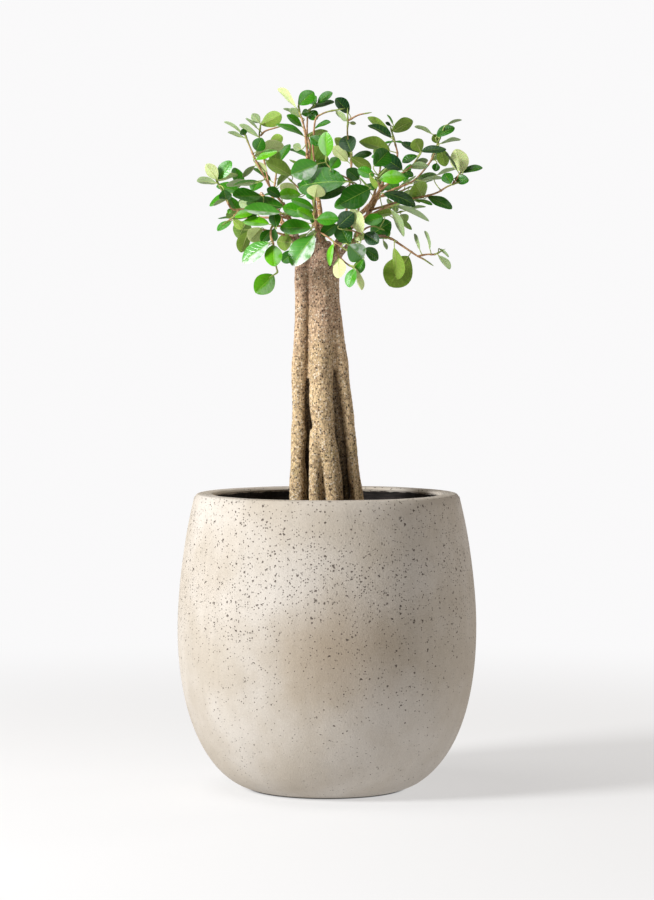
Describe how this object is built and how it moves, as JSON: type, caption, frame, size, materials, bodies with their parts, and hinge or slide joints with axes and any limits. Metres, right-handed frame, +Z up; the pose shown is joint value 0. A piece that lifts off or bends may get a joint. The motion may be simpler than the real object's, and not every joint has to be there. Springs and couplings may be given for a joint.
{
  "type": "potted chinese banyan",
  "caption": "Small fig tree of grown-together upright stems with a loose round-leaved crown, in a thick-walled bulb-shaped planter with a flat foot.",
  "frame": {"origin": "centre of the planter's flat foot", "axes": "+Z up along the planter's axis, -Y towards the viewer, +X to the viewer's right"},
  "size_m": [0.3259, 0.32, 0.7492],
  "materials": {
    "concrete": "matte",
    "soil": "matte",
    "bark": "matte",
    "leaf": "satin"
  },
  "bodies": {
    "root": {"planter": "concrete", "potting_mix": "soil", "spray_back_left": "leaf", "spray_back_left_upper": "leaf", "spray_back_low": "leaf", "spray_back_low_left": "leaf", "spray_back_low_right": "leaf", "spray_back_mid": "leaf", "spray_back_right": "leaf", "spray_back_right_upper": "leaf", "spray_back_upper": "leaf", "spray_centre": "leaf", "spray_centre_top": "leaf", "spray_front": "leaf", "spray_left_front": "leaf", "spray_left_low": "leaf", "spray_left_mid": "leaf", "spray_left_tip": "leaf", "spray_left_top": "leaf", "spray_left_upper": "leaf", "spray_lower_left": "leaf", "spray_right_cluster": "leaf", "spray_right_droop": "leaf", "spray_right_far": "leaf", "spray_right_front": "leaf", "spray_right_high": "leaf", "spray_right_mid": "leaf", "spray_right_under": "leaf", "spray_right_up": "leaf", "spray_top_left": "leaf", "spray_top_mid": "leaf", "spray_top_right": "leaf", "trunk": "bark"}
  },
  "joints": []
}
